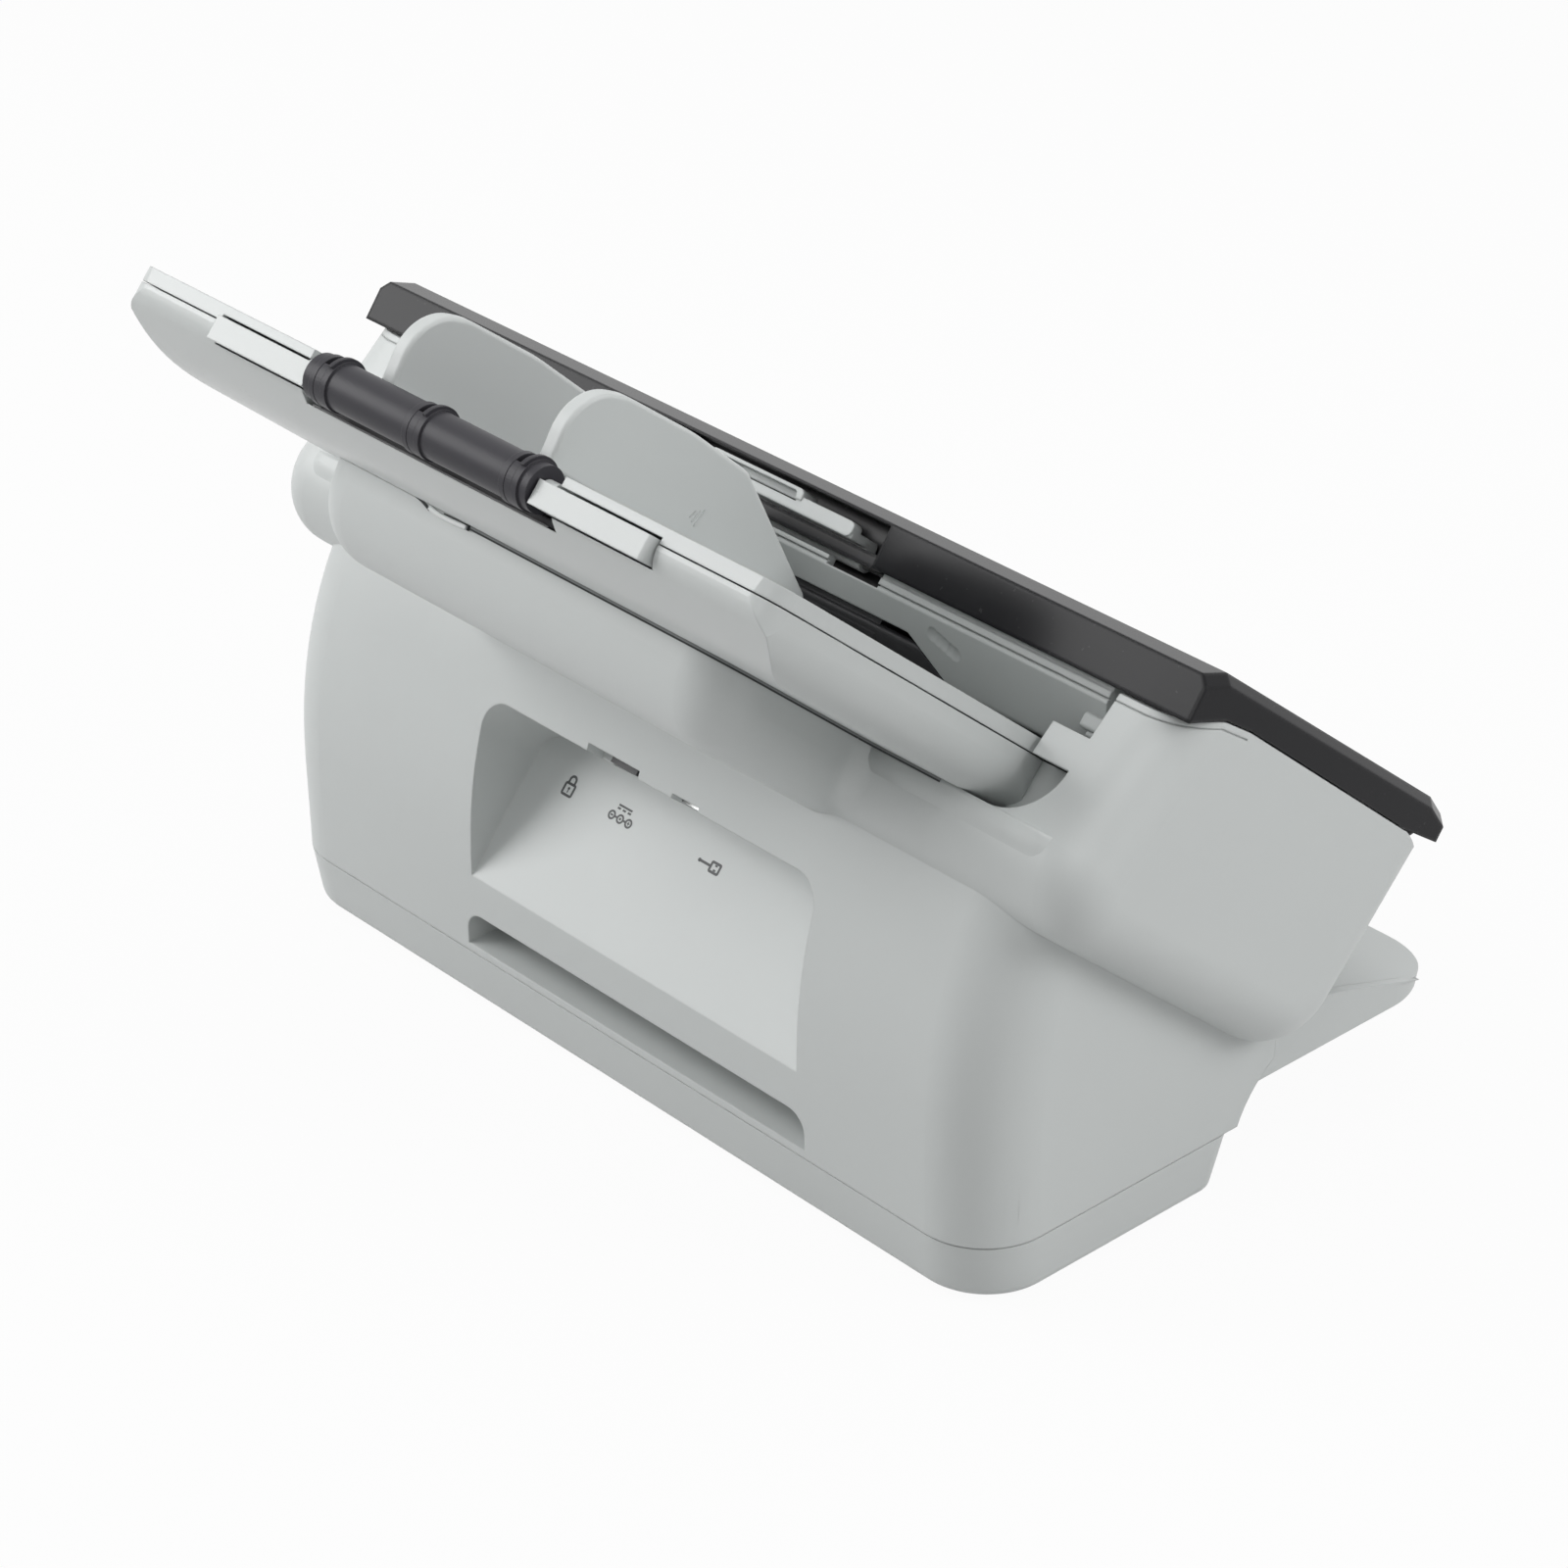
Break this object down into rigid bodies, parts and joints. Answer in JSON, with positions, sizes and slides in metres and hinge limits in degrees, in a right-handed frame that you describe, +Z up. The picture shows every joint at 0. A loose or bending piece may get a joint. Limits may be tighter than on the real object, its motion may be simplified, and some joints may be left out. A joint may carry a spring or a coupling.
{
  "type": "document scanner",
  "caption": "Sheet-fed document scanner with an inclined body, a hinged front cover, a sloping input tray with paper guides, and an output tray.",
  "frame": {"origin": "middle of the flat underside of the base, which the rubber feet lift 1.5 mm off the table", "axes": "+X across the machine, to the right seen from the front; -Y towards the front; +Z up"},
  "size_m": [0.31, 0.2299, 0.2208],
  "materials": {
    "body_plastic": "satin light grey moulded plastic",
    "cover_plastic": "glossy black moulded plastic",
    "dark_plastic": "satin dark grey moulded plastic",
    "black_plastic": "matt black moulded plastic",
    "white_plastic": "plain white moulded plastic",
    "button_plastic": "satin grey plastic",
    "rubber": "ground rubber",
    "steel": "turned steel",
    "bronze": "sintered bronze",
    "glass": "clear flat glass",
    "window": "dark display window",
    "board": "green circuit board"
  },
  "bodies": {
    "housing": {"main_housing": "body_plastic", "base_cover": "body_plastic", "rubber_feet": "rubber", "base_screws": "steel", "side_frame_left": "steel", "side_frame_right": "steel", "frame_screws": "steel", "shaft_bushings": "bronze", "lower_guide": "dark_plastic", "lower_image_sensor": "black_plastic", "lower_sensor_glass": "glass", "idler_pin": "steel", "drive_belt": "rubber", "drive_motor": "steel", "sensor_bracket": "black_plastic", "main_board": "board", "power_inlet": "black_plastic", "data_port": "steel", "lock_plate": "steel", "tray_plate": "body_plastic", "tray_shell": "body_plastic", "output_tray": "body_plastic"},
    "feed_roller": {"feed_roller_shaft": "steel", "feed_roller_tyres": "rubber", "feed_gear": "white_plastic"},
    "exit_roller": {"exit_roller_shaft": "steel", "exit_roller_tyres": "rubber", "exit_pulley": "white_plastic"},
    "pick_roller": {"pick_roller_shaft": "steel", "pick_roller_tyres": "rubber", "pick_gear": "white_plastic"},
    "idler": {"idler_gear": "white_plastic"},
    "motor_shaft": {"motor_pinion": "steel"},
    "paper_lever": {"paper_sensor_lever": "black_plastic"},
    "door": {"front_cover": "cover_plastic", "door_hinge_pins": "steel", "display_window": "window", "control_board": "board", "inner_panel": "body_plastic", "upper_image_sensor": "black_plastic", "upper_sensor_glass": "glass", "roller_cover": "black_plastic", "pinch_springs": "steel"},
    "start_key": {"start_button": "button_plastic"},
    "stop_key": {"stop_button": "button_plastic"},
    "power_key": {"power_button": "button_plastic"},
    "rocker": {"scroll_rocker": "button_plastic"},
    "retard_roller": {"separation_roller": "rubber"},
    "feed_pinch": {"feed_pinch_rollers": "white_plastic"},
    "exit_pinch": {"exit_pinch_rollers": "white_plastic"},
    "latch": {"latch_lever": "body_plastic", "latch_hooks": "steel"},
    "tray_slide": {"tray_extension": "body_plastic", "flip_pin": "steel"},
    "flip_stop": {"flip_piece": "dark_plastic"},
    "guide_right": {"paper_guide_right": "body_plastic"},
    "guide_left": {"paper_guide_left": "body_plastic"},
    "guide_gear": {"guide_pinion": "white_plastic"},
    "output_slide": {"output_extension": "body_plastic"},
    "stop_flap": {"output_stop": "body_plastic"}
  },
  "joints": [
    {"name": "door_hinge", "type": "hinge", "parent": "housing", "child": "door", "pos_m": [0, -0.09792, 0.08819], "axis": [1, 0, 0], "range_deg": [0, 90]},
    {"name": "latch_pivot", "type": "hinge", "parent": "door", "child": "latch", "pos_m": [0, -0.01305, 0.14962], "axis": [1, 0, 0], "range_deg": [0, 5], "stiffness_Nm_per_rad": 0.08, "springref_deg": -17.19},
    {"name": "start_press", "type": "slide", "parent": "door", "child": "start_key", "axis": [0, 0.6299, -0.7767], "range_m": [0, 0.0008], "stiffness_N_per_m": 300, "springref_m": -0.002},
    {"name": "stop_press", "type": "slide", "parent": "door", "child": "stop_key", "axis": [0, 0.6299, -0.7767], "range_m": [0, 0.0008], "stiffness_N_per_m": 300, "springref_m": -0.002},
    {"name": "power_press", "type": "slide", "parent": "door", "child": "power_key", "axis": [0, 0.6299, -0.7767], "range_m": [0, 0.0008], "stiffness_N_per_m": 300, "springref_m": -0.002},
    {"name": "rocker_tilt", "type": "hinge", "parent": "door", "child": "rocker", "pos_m": [0.078, -0.0617, 0.12349], "axis": [1, 0, 0], "range_deg": [-4, 4], "stiffness_Nm_per_rad": 0.05},
    {"name": "feed_spin", "type": "hinge", "parent": "housing", "child": "feed_roller", "pos_m": [0, -0.02774, 0.10178], "axis": [1, 0, 0], "continuous": true},
    {"name": "exit_spin", "type": "hinge", "parent": "housing", "child": "exit_roller", "pos_m": [0, -0.06298, 0.07222], "axis": [1, 0, 0], "continuous": true},
    {"name": "pick_spin", "type": "hinge", "parent": "housing", "child": "pick_roller", "pos_m": [0, -0.00654, 0.11696], "axis": [1, 0, 0], "continuous": true},
    {"name": "idler_spin", "type": "hinge", "parent": "housing", "child": "idler", "pos_m": [-0.1395, -0.01091, 0.0954], "axis": [1, 0, 0], "continuous": true},
    {"name": "motor_spin", "type": "hinge", "parent": "housing", "child": "motor_shaft", "pos_m": [-0.13, -0.02439, 0.08604], "axis": [1, 0, 0], "continuous": true},
    {"name": "retard_spin", "type": "hinge", "parent": "door", "child": "retard_roller", "pos_m": [0, -0.01895, 0.13175], "axis": [1, 0, 0], "continuous": true},
    {"name": "feed_pinch_spin", "type": "hinge", "parent": "door", "child": "feed_pinch", "pos_m": [0, -0.03629, 0.11197], "axis": [1, 0, 0], "continuous": true},
    {"name": "exit_pinch_spin", "type": "hinge", "parent": "door", "child": "exit_pinch", "pos_m": [0, -0.07153, 0.0824], "axis": [1, 0, 0], "continuous": true},
    {"name": "paper_lever_tilt", "type": "hinge", "parent": "housing", "child": "paper_lever", "pos_m": [0.062, -0.01522, 0.10864], "axis": [1, 0, 0], "range_deg": [0, 30], "stiffness_Nm_per_rad": 0.0005, "springref_deg": -17.19},
    {"name": "tray_pull", "type": "slide", "parent": "housing", "child": "tray_slide", "axis": [0, 0.766, 0.6428], "range_m": [0, 0.08]},
    {"name": "flip_turn", "type": "hinge", "parent": "tray_slide", "child": "flip_stop", "pos_m": [0, 0.09347, 0.20702], "axis": [-1, 0, 0], "range_deg": [0, 165]},
    {"name": "guide_right_slide", "type": "slide", "parent": "housing", "child": "guide_right", "axis": [1, 0, 0], "range_m": [0, 0.079]},
    {"name": "guide_left_slide", "type": "slide", "parent": "housing", "child": "guide_left", "axis": [1, 0, 0], "range_m": [-0.079, 0]},
    {"name": "guide_gear_turn", "type": "hinge", "parent": "housing", "child": "guide_gear", "pos_m": [0, 0.02395, 0.14908], "axis": [0, -0.6428, 0.766], "range_deg": [-324, 0]},
    {"name": "output_pull", "type": "slide", "parent": "housing", "child": "output_slide", "axis": [0, -0.9799, -0.1994], "range_m": [0, 0.06]},
    {"name": "flap_turn", "type": "hinge", "parent": "output_slide", "child": "stop_flap", "pos_m": [0, -0.12517, 0.02758], "axis": [1, 0, 0], "range_deg": [0, 95]}
  ],
  "couplings": [
    {"joint": "exit_spin", "follows": "feed_spin", "ratio": 1},
    {"joint": "pick_spin", "follows": "feed_spin", "ratio": 0.71429},
    {"joint": "idler_spin", "follows": "feed_spin", "ratio": -1.25},
    {"joint": "motor_spin", "follows": "feed_spin", "ratio": -1.6667},
    {"joint": "guide_left_slide", "follows": "guide_right_slide", "ratio": -1},
    {"joint": "guide_gear_turn", "follows": "guide_right_slide", "rad_per_m": -71.429}
  ]
}
